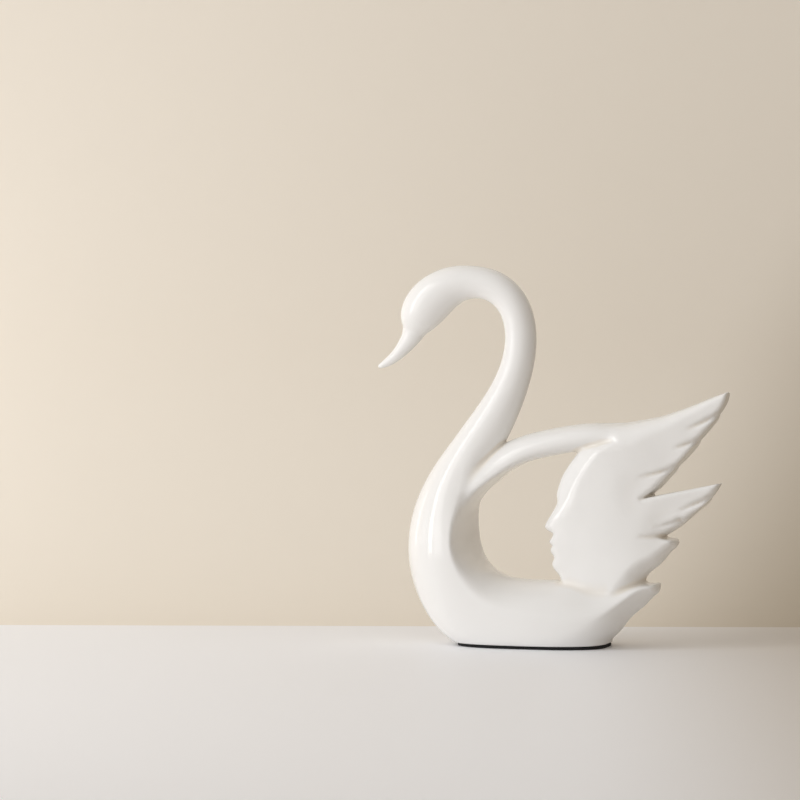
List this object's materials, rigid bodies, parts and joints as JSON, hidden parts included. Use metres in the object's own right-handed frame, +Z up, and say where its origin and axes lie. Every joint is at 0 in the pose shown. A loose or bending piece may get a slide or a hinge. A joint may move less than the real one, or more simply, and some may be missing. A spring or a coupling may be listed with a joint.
{
  "type": "swan figurine",
  "caption": "White glazed ceramic swan figurine with a curved neck, an arched arm to a feathered wing and a calm profile on the wing's edge, on a thin black pad.",
  "frame": {"origin": "middle of the pad's underside, on the surface the figurine stands on", "axes": "+Z up, +X from the beak towards the tail, +Y from the front to the back; the figurine is the same on both sides of the XZ plane"},
  "size_m": [0.1997, 0.063, 0.2096],
  "materials": {
    "white_glaze": "smooth white gloss glaze",
    "black_pad": "matte black non-slip foam"
  },
  "bodies": {
    "root": {"swan": "white_glaze", "base_pad": "black_pad"}
  },
  "joints": []
}
